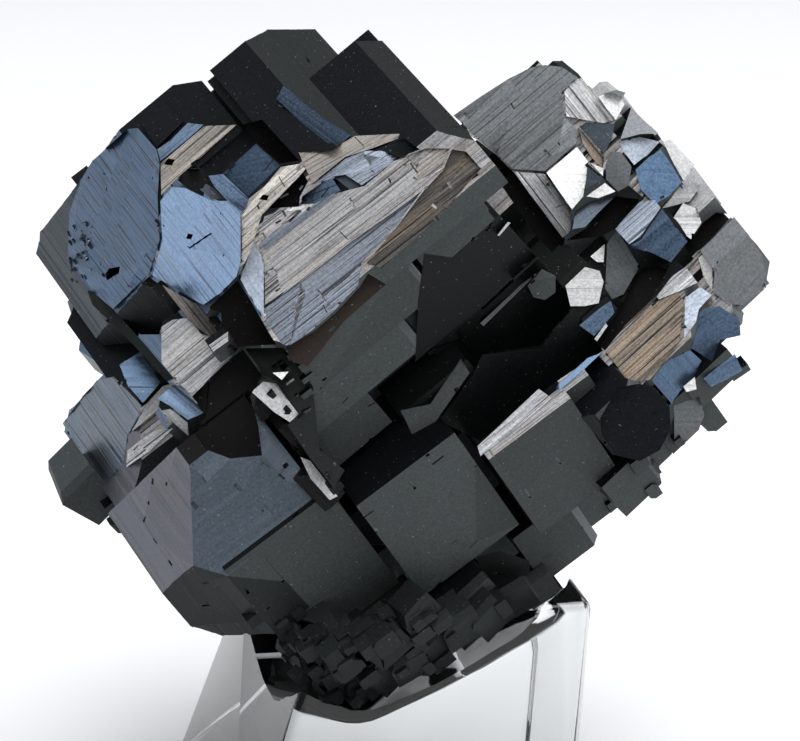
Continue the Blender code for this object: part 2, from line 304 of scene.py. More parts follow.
# Pits and scratches in the faces: the middle and half size of the patch in the front view, how
# many, and the smallest and largest length, width and depth in millimetres.
PITTED = (
    ((4.0, -14.0), (16.0, 8.0), 30, (0.3, 1.5), (0.06, 0.20), (0.05, 0.15)),
    ((-2.5, 0.0), (6.0, 9.0), 14, (0.3, 1.0), (0.08, 0.25), (0.10, 0.3)),
    ((-16.0, 10.0), (10.0, 6.5), 26, (0.12, 0.5), (0.08, 0.20), (0.10, 0.3)),
    ((-1.0, 10.0), (10.0, 6.0), 26, (0.2, 1.0), (0.08, 0.20), (0.10, 0.3)),
    ((-17.0, -12.0), (9.0, 7.0), 24, (0.2, 0.8), (0.10, 0.35), (0.10, 0.4)),
    ((14.0, 14.0), (12.0, 9.0), 20, (0.2, 0.8), (0.08, 0.25), (0.10, 0.3)),
    ((-4.0, 19.0), (14.0, 6.0), 22, (0.2, 1.2), (0.06, 0.20), (0.05, 0.2)),
)


def pit_cutters(tree, chance):
    """Small blocks that cut pits and scratches along the lattice into the faces in front."""
    mesh = bmesh.new()
    for middle, half, count, lengths, widths, depths in PITTED:
        for _ in range(count):
            x = middle[0] + half[0] * chance.uniform(-1, 1)
            y = middle[1] + half[1] * chance.uniform(-1, 1)
            place, normal, _ = seen_point(tree, "FRONT", x, y)
            if place is None:
                continue
            along = LATTICE.col[chance.choice((0, 0, 1, 2, 2))]
            along = along - normal * along.dot(normal)
            if along.length < 0.3:
                continue
            along.normalize()
            turn = Matrix((along, normal.cross(along), normal)).transposed()
            turn = turn @ Matrix.Rotation(math.radians(chance.uniform(-14, 14)), 3, "Z")
            turn = turn @ Matrix.Rotation(math.radians(chance.uniform(-16, 16)), 3, "X")
            size = [chance.uniform(*span) * MM for span in (lengths, widths, depths)]
            add_block(mesh, place, turn, (size[0], size[1], size[2] * 2.0))
    return mesh


def chip_cutters(mesh, chance, count):
    """Small turned blocks that chip the crystals' outer edges."""
    cutters = bmesh.new()
    edges = [edge for edge in mesh.edges if edge.is_manifold and edge.calc_face_angle_signed() > 0.6]
    edges = [edge for edge in edges if edge.calc_length() > 1.6 * MM]
    weights = [edge.calc_length() for edge in edges]
    for edge in chance.choices(edges, weights=weights, k=count):
        share = chance.uniform(0.08, 0.92)
        place = edge.verts[0].co.lerp(edge.verts[1].co, share)
        outward = (edge.link_faces[0].normal + edge.link_faces[1].normal).normalized()
        across = chance.choice((0.2, 0.3, 0.45)) * MM
        size = [across * chance.uniform(0.7, 1.6) for _ in range(3)]
        place = place + outward * across * chance.uniform(0.25, 0.5)
        add_block(cutters, place, small_turn(chance, 60.0), size)
    return cutters


# The traced outlines below are in the units of the picture that they were drawn over. Its middle is
# at the stone's middle, and each unit is this many millimetres there.
PICTURE_MIDDLE = (400.0, 370.0)
PICTURE_UNIT = 0.08

# How the main crystal's faces are tilted from facing the viewer, to the right and up, in degrees.
LEVEL = (-0.5, 3.5)
STEEP = (-60.4, 0.0)
TOP = (-33.0, 42.0)
UNDER = (29.6, -34.9)

# Faces traced in the front view. Each has its finish, the slope of its growth lines in the view,
# its tilt, how far it stands proud of what lies behind it in millimetres, and its corners. The
# finish's colour is painted light: painted highlights and reflections on the white, pale, bright,
# silver, ice and blue faces, and painted shade on the black, coal, night and shade ones.
TRACED = (
    # The large crystal's left end.
    ("azure", -51, STEEP, 0.0, ((92, 160), (128, 128), (138, 127), (157, 149), (160, 163), (158, 197),
     (160, 240), (149, 274), (113, 309), (89, 289), (67, 262), (69, 212), (80, 180))),
    ("sky", -51, STEEP, 0.4, ((160, 200), (172, 186), (185, 187), (212, 200), (228, 200), (241, 214),
     (241, 262), (237, 276), (222, 292), (203, 305), (178, 290), (152, 275), (162, 240))),
    ("sky", 40, (-20, 20), 0.3, ((157, 149), (170, 140), (188, 122), (204, 124), (190, 137), (160, 161))),
    ("warm", 41, LEVEL, 0.3, ((160, 163), (205, 125), (237, 124), (200, 158), (178, 177), (161, 195))),
    ("night", 41, TOP, 0.2, ((140, 123), (165, 101), (184, 121), (157, 147))),
    # Painted shade: the black faces sunk behind the others are painted black for the shade in their recesses.
    ("black", 41, LEVEL, -2.2, ((180, 178), (238, 125), (262, 119), (299, 160), (280, 163), (256, 142),
     (223, 171), (207, 173), (203, 167), (185, 168))),
    ("blue", 10, (-30, 10), -0.6, ((223, 173), (256, 143), (280, 165), (248, 196))),
    ("sky", -40, (-35, 5), 0.0, ((208, 175), (223, 173), (249, 198), (246, 208), (240, 214), (214, 186))),
    ("black", 0, LEVEL, -1.8, ((178, 180), (185, 169), (203, 168), (208, 178), (203, 188), (190, 190))),
    ("slate", 0, LEVEL, -0.9, ((197, 187), (206, 183), (214, 187), (228, 198), (212, 199))),
    ("warm", 41, LEVEL, 0.4, ((241, 216), (250, 203), (281, 166), (300, 163), (306, 168), (287, 190),
     (262, 214), (256, 232), (252, 248), (244, 264), (238, 276), (242, 250))),
    ("ice", -60, (-40, 0), 0.0, ((254, 240), (261, 254), (264, 265), (264, 319), (250, 297), (240, 279),
     (245, 264))),
    ("black", 0, LEVEL, -3.0, ((207, 309), (237, 280), (249, 297), (262, 320), (276, 344), (240, 346),
     (222, 342))),
    # The needle's print and the small notches in these faces, painted black as the shade inside them.
    ("black", -51, STEEP, -1.05, ((189, 247), (211, 232), (212, 233), (190, 248))),
    ("black", -51, STEEP, -1.05, ((186, 238), (188, 233), (193, 234), (191, 239))),
    ("black", -51, STEEP, -1.05, ((105, 274), (109, 268), (120, 266), (119, 272), (107, 280))),
    ("black", 41, LEVEL, -1.05, ((164, 164), (168, 158), (175, 159), (172, 165))),
    ("black", 41, LEVEL, -1.05, ((259, 199), (263, 194), (269, 195), (267, 200))),
    # The striated face in the middle, with its bands.
    ("silver", 38, LEVEL, 0.0, ((258, 235), (264, 216), (282, 209), (315, 203), (345, 190), (365, 185),
     (395, 160), (425, 148), (450, 148), (440, 170), (400, 205), (350, 240), (300, 280), (265, 304),
     (264, 262))),
    ("steel", 38, LEVEL, -0.3, ((265, 306), (300, 282), (350, 242), (400, 207), (422, 190), (396, 225),
     (362, 262), (358, 285), (335, 310), (312, 330), (290, 345), (283, 345), (266, 322))),
    ("carved", 38, LEVEL, -0.2, ((452, 149), (466, 151), (481, 168), (455, 198), (425, 230), (381, 268),
     (366, 263), (398, 225), (424, 190), (443, 170))),
    ("steel", 38, LEVEL, 0.35, ((258, 247), (264, 238), (330, 194), (342, 191), (300, 223), (265, 250))),
    ("sky", 20, (-30, 5), -0.2, ((302, 196), (325, 180), (333, 178), (341, 190), (315, 203), (301, 204))),
    ("black", 0, LEVEL, -1.6, ((268, 208), (303, 172), (308, 181), (300, 196), (299, 206))),
    ("taupe", 30, (-10, 25), 0.2, ((298, 152), (330, 150), (355, 135), (400, 133), (398, 138), (372, 148),
     (345, 157), (312, 183), (306, 168))),
    ("steel", 30, (-10, 15), 0.1, ((312, 184), (345, 158), (362, 150), (382, 150), (400, 157), (363, 184),
     (350, 188), (335, 178), (325, 180))),
    ("slate", 20, LEVEL, -1.05, ((333, 176), (345, 174), (362, 185), (350, 189))),
    ("night", 20, LEVEL, -0.8, ((374, 149), (404, 138), (420, 149), (404, 155))),
    ("deep", -38, (-35, 20), 0.1, ((283, 85), (300, 99), (325, 119), (352, 135), (342, 142), (328, 143),
     (300, 121), (276, 98))),
    ("rust", 0, LEVEL, -0.25, ((286, 346), (314, 331), (337, 311), (360, 286), (368, 273), (386, 284),
     (345, 320), (325, 345), (308, 366), (292, 362))),
    ("shade", 0, LEVEL, -0.6, ((245, 348), (283, 347), (300, 366), (313, 386), (320, 450), (345, 470),
     (334, 488), (310, 458), (287, 425), (299, 414), (276, 381), (264, 374))),
    # The crystals at the left.
    ("black", 0, LEVEL, -2.4, ((114, 309), (149, 276), (164, 288), (181, 309), (163, 320), (159, 334),
     (140, 334))),
    ("taupe", -52, (15, 12), 0.6, ((162, 284), (196, 303), (206, 313), (218, 333), (212, 338), (190, 322),
     (176, 306))),
    ("bright", 40, LEVEL, 0.3, ((161, 326), (172, 319), (187, 317), (204, 336), (216, 346), (243, 348),
     (222, 364), (200, 389), (190, 393), (177, 382), (161, 362))),
    ("shade", -50, (-30, 20), 0.4, ((87, 290), (103, 297), (146, 345), (174, 378), (167, 381), (130, 341),
     (92, 304))),
    ("veined", -50, STEEP, 0.0, ((62, 423), (80, 400), (97, 379), (114, 376), (142, 405), (139, 415),
     (128, 435), (124, 462), (106, 483), (80, 450))),
    ("blue", 0, (-10, 25), 0.0, ((119, 364), (140, 351), (161, 382), (143, 403), (128, 386))),
    ("pale", 40, LEVEL, 0.4, ((140, 416), (148, 401), (163, 385), (176, 382), (160, 400), (158, 410),
     (132, 431))),
    ("bright", 38, LEVEL, 0.3, ((127, 450), (146, 434), (160, 428), (173, 428), (150, 451), (126, 467))),
    ("sky", -40, (10, 15), 0.6, ((157, 398), (173, 384), (182, 386), (204, 412), (188, 420), (170, 406))),
    ("pale", -50, (20, -10), 0.5, ((160, 410), (170, 408), (188, 422), (189, 436), (176, 425))),
    ("black", 0, LEVEL, -2.0, ((192, 396), (224, 364), (243, 349), (262, 375), (250, 396), (258, 424),
     (262, 455), (230, 458), (206, 449), (191, 428), (206, 413))),
    ("pale", -50, (30, -5), 0.5, ((251, 391), (263, 381), (276, 383), (299, 414), (290, 422), (274, 412))),
    ("white", 0, (0, 10), 0.5, ((272, 372), (289, 371), (282, 380))),
    ("pale", -50, (25, -5), 0.5, ((300, 456), (310, 460), (338, 496), (330, 500), (310, 478))),
    # The dark middle, painted dark as shade in its recess.
    ("coal", 40, UNDER, -0.3, ((424, 253), (452, 257), (470, 241), (500, 214), (536, 256), (486, 304),
     (452, 330), (415, 362), (418, 300))),
    ("coal", 40, UNDER, -0.5, ((486, 306), (538, 258), (566, 290), (574, 304), (540, 345), (500, 350),
     (470, 352), (455, 331))),
    ("coal", 40, UNDER, -0.6, ((472, 375), (482, 354), (541, 347), (574, 306), (586, 326), (603, 350),
     (552, 384), (480, 440), (438, 421))),
    ("dull", 40, LEVEL, 0.2, ((400, 410), (430, 404), (461, 358), (470, 372), (436, 421), (412, 434))),
    ("dull", 40, LEVEL, 0.2, ((527, 285), (542, 268), (556, 275), (556, 292), (545, 300), (533, 297))),
    ("grey", 45, LEVEL, 0.4, ((480, 323), (535, 271), (537, 273), (483, 326))),
    ("pale", 45, LEVEL, 0.4, ((497, 235), (508, 221), (511, 222), (499, 236))),
    ("bright", 40, LEVEL, 0.2, ((477, 446), (539, 388), (552, 397), (522, 424), (480, 456))),
    ("blue", 40, (-5, 25), 0.2, ((554, 387), (588, 357), (602, 352), (580, 373), (559, 390))),
    ("black", -50, LEVEL, -3.0, ((461, 131), (475, 138), (497, 155), (513, 171), (532, 196), (547, 216),
     (564, 239), (552, 252), (530, 228), (505, 190), (480, 158))),
    # A sheet behind a gap between the crystals, painted dark as shade so that the gap shows dark.
    ("shade", 0, UNDER, -0.9, ((476, 556), (500, 550), (530, 560), (530, 576), (500, 574), (480, 570))),
    # The bright cluster at the right, with painted highlights and reflections on its faces and painted shade
    # in its gaps.
    ("brushed", 40, (-12, 10), 0.2, ((453, 115), (480, 96), (508, 78), (530, 67), (545, 64), (562, 66),
     (579, 77), (562, 91), (565, 117), (577, 129), (577, 143), (545, 171), (513, 169), (497, 154),
     (478, 139))),
    ("bright", -52, (10, 10), 0.4, ((564, 91), (573, 79), (581, 77), (592, 90), (602, 104), (615, 120),
     (604, 123), (585, 120), (566, 116))),
    ("slate", 30, (-10, 0), 0.1, ((579, 126), (587, 122), (615, 123), (612, 139), (604, 154), (592, 140))),
    ("gold", -50, (25, 0), 0.3, ((578, 127), (592, 139), (604, 156), (603, 168), (592, 158), (583, 144))),
    ("white", 0, (0, 12), 0.3, ((546, 172), (577, 146), (588, 160), (586, 180), (583, 196), (572, 209),
     (558, 190))),
    ("bright", -52, (10, 5), 0.2, ((514, 171), (545, 173), (558, 192), (571, 211), (571, 230), (562, 238),
     (545, 215), (530, 194))),
    ("slate", 0, (-20, 10), 0.0, ((588, 166), (603, 179), (585, 190))),
    ("white", 0, (5, 10), 0.3, ((590, 162), (604, 168), (603, 176))),
    ("white", -10, (0, 0), 0.4, ((586, 196), (605, 182), (616, 191), (598, 198))),
    ("grained", 0, (-10, -5), 0.3, ((611, 151), (621, 151), (632, 166), (629, 185), (618, 191), (606, 179),
     (605, 164))),
    ("white", -40, (10, 15), 0.4, ((598, 96), (611, 91), (622, 96), (625, 104), (616, 120), (606, 108))),
    ("grey", 0, (0, 30), 0.7, ((604, 93), (616, 89), (626, 92), (624, 96), (611, 92))),
    ("grained", 20, (0, 20), 0.2, ((631, 107), (646, 121), (659, 133), (640, 134), (620, 139))),
    ("ice", -20, (15, 10), 0.3, ((619, 141), (640, 136), (660, 141), (648, 154), (634, 165), (624, 152))),
    ("pale", -50, (35, 15), 0.2, ((663, 141), (670, 138), (695, 165), (690, 172), (684, 181), (673, 163))),
    ("mottled", 0, (5, 5), 0.5, ((635, 169), (649, 156), (661, 149), (672, 164), (682, 182), (669, 196),
     (655, 204), (641, 190))),
    ("pale", 0, (15, -5), 0.3, ((683, 183), (698, 190), (690, 201), (671, 206), (662, 208), (671, 197))),
    ("black", 0, LEVEL, -2.6, ((566, 240), (600, 236), (616, 228), (640, 199), (616, 196), (602, 212),
     (586, 228))),
    ("slate", 30, (-5, 20), 0.3, ((572, 229), (575, 211), (590, 201), (614, 197), (600, 211), (585, 227))),
    ("white", 0, (0, 10), 0.5, ((597, 218), (607, 214), (611, 220), (600, 225))),
    ("steel", 40, (-5, 15), 0.3, ((614, 228), (640, 201), (655, 199), (661, 207), (640, 237), (629, 244))),
    ("blue", 40, (5, -10), 0.3, ((628, 246), (641, 239), (662, 208), (688, 241), (671, 262), (650, 252))),
    ("pale", 0, (10, 15), 0.4, ((673, 217), (683, 202), (697, 208), (702, 222), (691, 239), (680, 231))),
    ("black", 0, LEVEL, -2.0, ((690, 242), (703, 222), (716, 212), (733, 214), (712, 238), (699, 250))),
    ("grained", 45, (25, 0), 0.5, ((700, 250), (734, 216), (749, 234), (762, 254), (767, 275), (764, 290),
     (744, 305), (728, 304), (713, 292), (714, 270))),
    ("white", -60, (-10, 0), 0.5, ((698, 257), (707, 250), (713, 268), (712, 290), (703, 275))),
    ("pale", 0, (-5, 5), 0.5, ((565, 285), (585, 266), (600, 270), (604, 281), (599, 303), (585, 306),
     (570, 306))),
    ("white", 0, (5, 10), 0.5, ((590, 256), (605, 243), (604, 262), (597, 262))),
    ("grey", -60, (15, -5), 0.4, ((607, 243), (617, 229), (628, 247), (640, 266), (624, 294), (612, 299),
     (605, 288), (606, 262))),
    ("blue", 45, (-10, 10), 0.3, ((579, 325), (600, 307), (611, 300), (615, 312), (594, 336))),
    ("white", 45, (0, 0), 0.4, ((594, 339), (606, 322), (608, 325), (597, 341))),
    ("black", 0, LEVEL, -2.6, ((598, 344), (617, 312), (626, 296), (642, 267), (670, 264), (650, 300),
     (626, 324), (605, 350))),
    ("gold", 42, LEVEL, 0.4, ((606, 352), (631, 325), (651, 304), (678, 291), (684, 300), (680, 340),
     (666, 360), (650, 380), (636, 381), (625, 377))),
    ("bright", 40, LEVEL, 0.6, ((652, 302), (672, 275), (686, 266), (698, 282), (682, 290))),
    ("ice", 30, (20, 5), 0.4, ((685, 297), (700, 286), (712, 294), (699, 309), (696, 322), (684, 338))),
    ("blue", 30, (20, -5), 0.4, ((700, 309), (719, 305), (740, 318), (741, 335), (720, 340), (712, 361),
     (691, 348), (698, 322))),
    ("blue", -50, (20, -15), 0.3, ((651, 380), (666, 361), (690, 349), (702, 360), (690, 384), (680, 391),
     (672, 404))),
    ("blue", 30, (30, -5), 0.3, ((703, 378), (735, 353), (743, 370), (728, 379), (711, 387))),
    ("white", 0, (0, 0), 0.5, ((683, 386), (695, 376), (697, 389), (686, 392))),
    ("onyx", 0, (5, -5), 0.6, ((600, 418), (618, 387), (640, 383), (655, 386), (670, 406), (671, 430),
     (660, 450), (640, 461), (616, 455), (602, 437))),
    ("grey", 0, (30, -15), 0.2, ((674, 405), (699, 396), (705, 414), (699, 430), (689, 439), (674, 443))),
)

# How far a traced outline reaches through the stone, in front of its face and behind it, and how
# deep the hair line between two traced faces is.
REACH_BEFORE = 14.0
REACH_BEHIND = 3.0
HAIR_LINE = 0.02


def sight(corner):
    """The camera's place and the direction of the line of sight through a traced point."""
    x = (corner[0] - PICTURE_MIDDLE[0]) * PICTURE_UNIT
    y = (PICTURE_MIDDLE[1] - corner[1]) * PICTURE_UNIT
    start = at_front(0.0, 0.0, CAMERA_DISTANCE / MM)
    return start, (at_front(x, y) - start).normalized()


def traced_point(place):
    """Where a place in the frame appears in the traced picture."""
    local = FRONT.transposed() @ (place - STONE_PLACE) / MM
    scale = CAMERA_DISTANCE / MM / (CAMERA_DISTANCE / MM - local.z) / PICTURE_UNIT
    return PICTURE_MIDDLE[0] + local.x * scale, PICTURE_MIDDLE[1] - local.y * scale


def inside(point, corners):
    """Whether a traced point lies inside an outline."""
    x, y = point
    crossings = 0
    for (x1, y1), (x2, y2) in zip(corners, corners[1:] + corners[:1]):
        if (y1 > y) != (y2 > y) and x < x1 + (y - y1) / (y2 - y1) * (x2 - x1):
            crossings += 1
    return crossings % 2 == 1


class TracedFace:
    """A flat face whose outline was traced in the front view."""

    def __init__(self, tree, finish, slope, tilt, lift, corners):
        self.finish = finish
        self.corners = corners
        self.sunk = lift < -1.0
        right, up = (math.tan(math.radians(angle)) for angle in tilt)
        self.normal = (FRONT @ Vector((right, up, 1.0))).normalized()
        slope = math.radians(slope)
        toward = -(right * math.cos(slope) + up * math.sin(slope))
        self.along = (FRONT @ Vector((math.cos(slope), math.sin(slope), toward))).normalized()
        self.offset = self.found_offset(tree) + lift * MM

    def found_offset(self, tree):
        """The offset of the plane of this tilt that best fits the stone behind the outline."""
        columns = [corner[0] for corner in self.corners]
        rows = [corner[1] for corner in self.corners]
        found = []
        for x in range(min(columns), max(columns) + 1, 2):
            for y in range(min(rows), max(rows) + 1, 2):
                if not inside((x, y), self.corners):
                    continue
                place = tree.ray_cast(*sight((x, y)))[0]
                if place is not None:
                    found.append(place.dot(self.normal))
        found.sort()
        return found[int(len(found) * 0.55)]

    def on_plane(self, corner, sunk=0.0):
        start, way = sight(corner)
        return start + way * ((self.offset - sunk * MM - start.dot(self.normal)) / way.dot(self.normal))

    def prism(self, corners, sunk, near, far):
        """The solid between two distances from the face along the lines of sight."""
        mesh = bmesh.new()
        front = []
        back = []
        for corner in corners:
            place = self.on_plane(corner, sunk)
            way = sight(corner)[1]
            front.append(mesh.verts.new(place - way * near * MM))
            back.append(mesh.verts.new(place + way * far * MM))
        mesh.faces.new(front)
        mesh.faces.new(list(reversed(back)))
        for i in range(len(corners)):
            j = (i + 1) % len(corners)
            mesh.faces.new((front[j], front[i], back[i], back[j]))
        bmesh.ops.recalc_face_normals(mesh, faces=mesh.faces)
        return mesh

    def cutter(self):
        sunk = 0.0 if self.sunk else HAIR_LINE
        return self.prism(self.corners, sunk, REACH_BEFORE, 0.0)

    def crystal(self):
        middle = Vector((0.0, 0.0))
        for corner in self.corners:
            middle += Vector(corner) / len(self.corners)
        corners = []
        for corner in self.corners:
            inward = middle - Vector(corner)
            corners.append(tuple(Vector(corner) + inward.normalized() * min(0.5, inward.length * 0.1)))
        return self.prism(corners, 0.0, 0.0, REACH_BEHIND)

    def holds(self, normal, place):
        """Whether a face with this normal and place is part of this traced face."""
        if normal.dot(self.normal) < 0.99995:
            return False
        if abs(place.dot(self.normal) - self.offset) > 1.5 * HAIR_LINE * MM:
            return False
        x, y = traced_point(place)
        columns = [corner[0] for corner in self.corners]
        rows = [corner[1] for corner in self.corners]
        return min(columns) <= x <= max(columns) and min(rows) <= y <= max(rows)


# Patches of the front view, as outlines in the traced picture's units, where the stone's own faces
# have painted light of their own, and the kind of face that it is for, or None for all. The dark
# patches paint shade on the foot, the dark middle and the recesses; the pale and grey ones at the
# right paint highlights.
PAINTED_LIGHT_PATCHES = (
    ("shade", (0, 1, 1), ((300, 545), (600, 545), (600, 620), (240, 620))),
    ("shade", None, ((240, 600), (560, 590), (560, 741), (240, 741))),
    ("pale", None, ((588, 84), (630, 84), (650, 100), (700, 170), (735, 195), (700, 215), (660, 140),
     (630, 130), (596, 112))),
    ("grey", None, ((660, 140), (735, 195), (775, 250), (775, 300), (740, 330), (700, 250), (690, 215),
     (640, 200))),
    ("slate", (0, 1, 1), ((185, 440), (300, 440), (300, 600), (185, 600))),
    ("violet", (-1, 1, 0), ((90, 440), (200, 440), (200, 600), (90, 600))),
    ("black", None, ((245, 345), (262, 345), (345, 480), (300, 520), (255, 470), (190, 455), (190, 400))),
    ("coal", None, ((425, 252), (455, 255), (500, 212), (566, 240), (600, 262), (606, 350), (552, 384),
     (476, 446), (440, 470), (398, 470), (405, 380), (418, 300))),
    ("coal", None, ((560, 240), (700, 200), (720, 215), (690, 260), (606, 350), (566, 300))),
    ("dull", (0, 1, 1), ((540, 470), (720, 400), (720, 560), (540, 600))),
    ("dull", None, ((50, 455), (98, 465), (100, 530), (50, 530))),
    ("dusk", (-1, 1, 0), ((30, 180), (92, 140), (96, 300), (135, 350), (60, 330), (30, 250))),
    ("night", (0, 1, 1), ((172, 92), (264, 92), (264, 170), (172, 184))),
)


def boolean(piece, operation, mesh):
    """Joins or cuts a mesh from a piece at once."""
    other = new_piece("tool", mesh)
    step = piece.modifiers.new(operation, "BOOLEAN")
    step.operation = operation
    step.solver = "MANIFOLD"
    step.object = other
    apply_modifiers(piece)
    data = other.data
    bpy.data.objects.remove(other)
    bpy.data.meshes.remove(data)


def read_mesh(piece):
    mesh = bmesh.new()
    mesh.from_mesh(piece.data)
    return mesh


def trace_faces(piece, traced):
    """Cuts and fills the stone so that each traced face shows, then cuts the gaps between them."""
    raised = [face for face in traced if not face.sunk]
    for face in raised:
        boolean(piece, "DIFFERENCE", face.cutter())
    for face in raised:
        boolean(piece, "UNION", face.crystal())
    for face in traced:
        if face.sunk:
            boolean(piece, "DIFFERENCE", face.cutter())


def detailed_stone(chance):
    """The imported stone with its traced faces, small crystals, pits and chips, and those faces."""
    mesh = packed_stone()
    tree = BVHTree.FromBMesh(mesh)
    traced = [TracedFace(tree, *row) for row in TRACED]
    piece = new_piece("magnetite_stone", mesh)
    trace_faces(piece, traced)
    mesh = read_mesh(piece)
    tree = BVHTree.FromBMesh(mesh)
    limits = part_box("magnetite_crystals")
    crowd = crowd_crystals(tree, chance, limits)
    seam_crystals(crowd, mesh, chance, limits, 300)
    pits = pit_cutters(tree, chance)
    chips = chip_cutters(mesh, chance, 120)
    mesh.free()
    boolean(piece, "UNION", crowd)
    boolean(piece, "DIFFERENCE", pits)
    boolean(piece, "DIFFERENCE", chips)
    return piece, read_mesh(piece), traced


# Each finish: its colour, roughness, metallic share, how strongly it is striated, and how much warm
# brown shows in its bands. The colours are painted light: each is the brightness and hue that a face
# shows in its light, with painted reflections in the white, pale, bright, silver, ice and blue ones and
# painted shade in the night, black, coal, onyx, dusk and shade ones.
PAINTED_LIGHT_AND_FINISHES = {
    "night": ((0.0060, 0.0075, 0.0095), 0.40, 0.60, 0.15, 0.0),
    "black": ((0.004, 0.004, 0.004), 0.60, 0.20, 0.10, 0.0),
    "coal": ((0.0060, 0.0080, 0.0080), 0.45, 0.40, 0.10, 0.0),
    "onyx": ((0.0080, 0.0100, 0.0120), 0.35, 0.60, 0.10, 0.0),
    "dusk": ((0.032, 0.041, 0.050), 0.40, 0.70, 0.60, 0.0),
    "shade": ((0.014, 0.017, 0.017), 0.50, 0.40, 0.15, 0.0),
    "dull": ((0.040, 0.047, 0.048), 0.60, 0.20, 0.10, 0.0),
    "grey": ((0.110, 0.122, 0.130), 0.45, 0.50, 0.30, 0.1),
    "slate": ((0.075, 0.095, 0.120), 0.40, 0.70, 0.25, 0.0),
    "violet": ((0.090, 0.095, 0.112), 0.42, 0.60, 0.25, 0.1),
    "veined": ((0.115, 0.140, 0.170), 0.40, 0.70, 1.00, 0.1),
    "silver": ((0.330, 0.335, 0.350), 0.33, 0.85, 1.20, 0.5),
    "steel": ((0.220, 0.255, 0.315), 0.32, 0.85, 1.20, 0.1),
    "carved": ((0.085, 0.081, 0.076), 0.36, 0.85, 1.80, 0.4),
    "bright": ((0.520, 0.540, 0.570), 0.34, 0.80, 1.30, 0.3),
    "brushed": ((0.180, 0.195, 0.210), 0.36, 0.80, 0.90, 0.0),
    "warm": ((0.460, 0.445, 0.425), 0.36, 0.75, 1.10, 0.35),
    "gold": ((0.270, 0.235, 0.200), 0.36, 0.80, 1.40, 1.0),
    "azure": ((0.058, 0.100, 0.168), 0.34, 0.85, 1.50, 0.0),
    "sky": ((0.198, 0.285, 0.420), 0.36, 0.85, 0.80, 0.0),
    "blue": ((0.085, 0.130, 0.200), 0.32, 0.85, 0.30, 0.0),
    "deep": ((0.070, 0.100, 0.150), 0.36, 0.80, 0.80, 0.0),
    "ice": ((0.500, 0.560, 0.660), 0.38, 0.60, 0.20, 0.0),
    "white": ((0.740, 0.745, 0.750), 0.42, 0.40, 0.25, 0.0),
    "pale": ((0.480, 0.490, 0.500), 0.45, 0.45, 0.40, 0.1),
    "grained": ((0.165, 0.180, 0.195), 0.45, 0.50, 0.20, 0.1),
    "mottled": ((0.130, 0.220, 0.360), 0.38, 0.70, 0.20, 0.0),
    "taupe": ((0.190, 0.180, 0.170), 0.42, 0.60, 1.10, 0.4),
    "rust": ((0.022, 0.016, 0.012), 0.70, 0.10, 0.10, 0.0),
}

# The finish of each kind of face, or of the one opposite to it. These are lit and shaded copies of one
# stone: painted shade on the tops (night) and the sides turned from the lamps, and painted reflections
# on the striated faces (silver, azure).
KIND_PAINTED_LIGHT_AND_FINISHES = {
    (0, 0, 1): "dull",
    (0, 1, 0): "night",
    (1, 0, 0): "shade",
    (0, 1, 1): "silver",
    (0, 1, -1): "slate",
    (-1, 1, 0): "azure",
    (1, 1, 0): "shade",
    (-1, 0, 1): "shade",
    (1, 0, 1): "grey",
}


def kind_painted_light_and_finish(kind):
    if kind is None:
        return "grey"
    opposite = tuple(-part for part in kind)
    return KIND_PAINTED_LIGHT_AND_FINISHES.get(kind) or KIND_PAINTED_LIGHT_AND_FINISHES.get(opposite) or "grey"


def patch_painted_light_and_finish(kind, normal, place):
    """The painted light and finish of the patch of the front view that a face lies in, or None."""
    if (FRONT.transposed() @ normal).z < 0.05:
        return None
    point = traced_point(place)
    for finish, wanted, corners in PAINTED_LIGHT_PATCHES:
        if wanted in (None, kind) and inside(point, corners):
            return finish
    return None


class Facet:
    """One flat face of a crystal before its growth lines are cut."""

    def __init__(self, face, traced, chance):
        self.normal = face.normal.copy()
        self.area = face.calc_area() / MM**2
        self.kind = nearest_face(self.normal)
        self.along = growth_direction(face, self.kind)
        place = face.calc_center_median()
        finish = patch_painted_light_and_finish(self.kind, self.normal, place) or kind_painted_light_and_finish(self.kind)
        self.traced = [each for each in traced if each.holds(self.normal, place)]
        if self.traced:
            finish = self.traced[0].finish
            self.along = self.traced[0].along
        self.across = self.normal.cross(self.along)
        # The finish's colour is painted light: the light or shade this face shows, set by its traced face,
        # its patch and its kind.
        colour, roughness, metallic, striated, warm = PAINTED_LIGHT_AND_FINISHES[finish]
        shade = chance.uniform(0.85, 1.15)
        self.colour = [part * shade for part in colour]
        self.roughness = roughness * chance.uniform(0.9, 1.15)
        self.metallic = metallic
        self.striated = striated
        self.warm = warm
        self.shift = (chance.uniform(0, 400), chance.uniform(0, 400))

    @property
    def carries_lines(self):
        if self.traced:
            return self.striated > 0.25
        return self.kind is not None and self.kind.count(0) == 1


def label_facets(mesh, traced, chance):
    """Numbers the faces, and returns what is known about each."""
    layer = mesh.faces.layers.int.new("facet")
    facets = []
    for number, face in enumerate(mesh.faces):
        face[layer] = number
        facets.append(Facet(face, traced, chance))
    return facets


def cut_lines(mesh, face, facet, positions, heights):
    """Cuts a flat face along its growth direction, and sinks each cut by its own height."""
    current = [face]
    for position, height in zip(positions, heights):
        geometry = set(current)
        for part in current:
            geometry.update(part.edges)
            geometry.update(part.verts)
        done = bmesh.ops.bisect_plane(
            mesh,
            geom=list(geometry),
            dist=1e-8,
            plane_co=facet.across * position,
            plane_no=facet.across,
        )
        current = [item for item in done["geom"] if isinstance(item, bmesh.types.BMFace)]
        cut = [item for item in done["geom_cut"] if isinstance(item, bmesh.types.BMVert)]
        inside = set(current)
        for vert in cut:
            sink_vertex(vert, facet, height, inside)


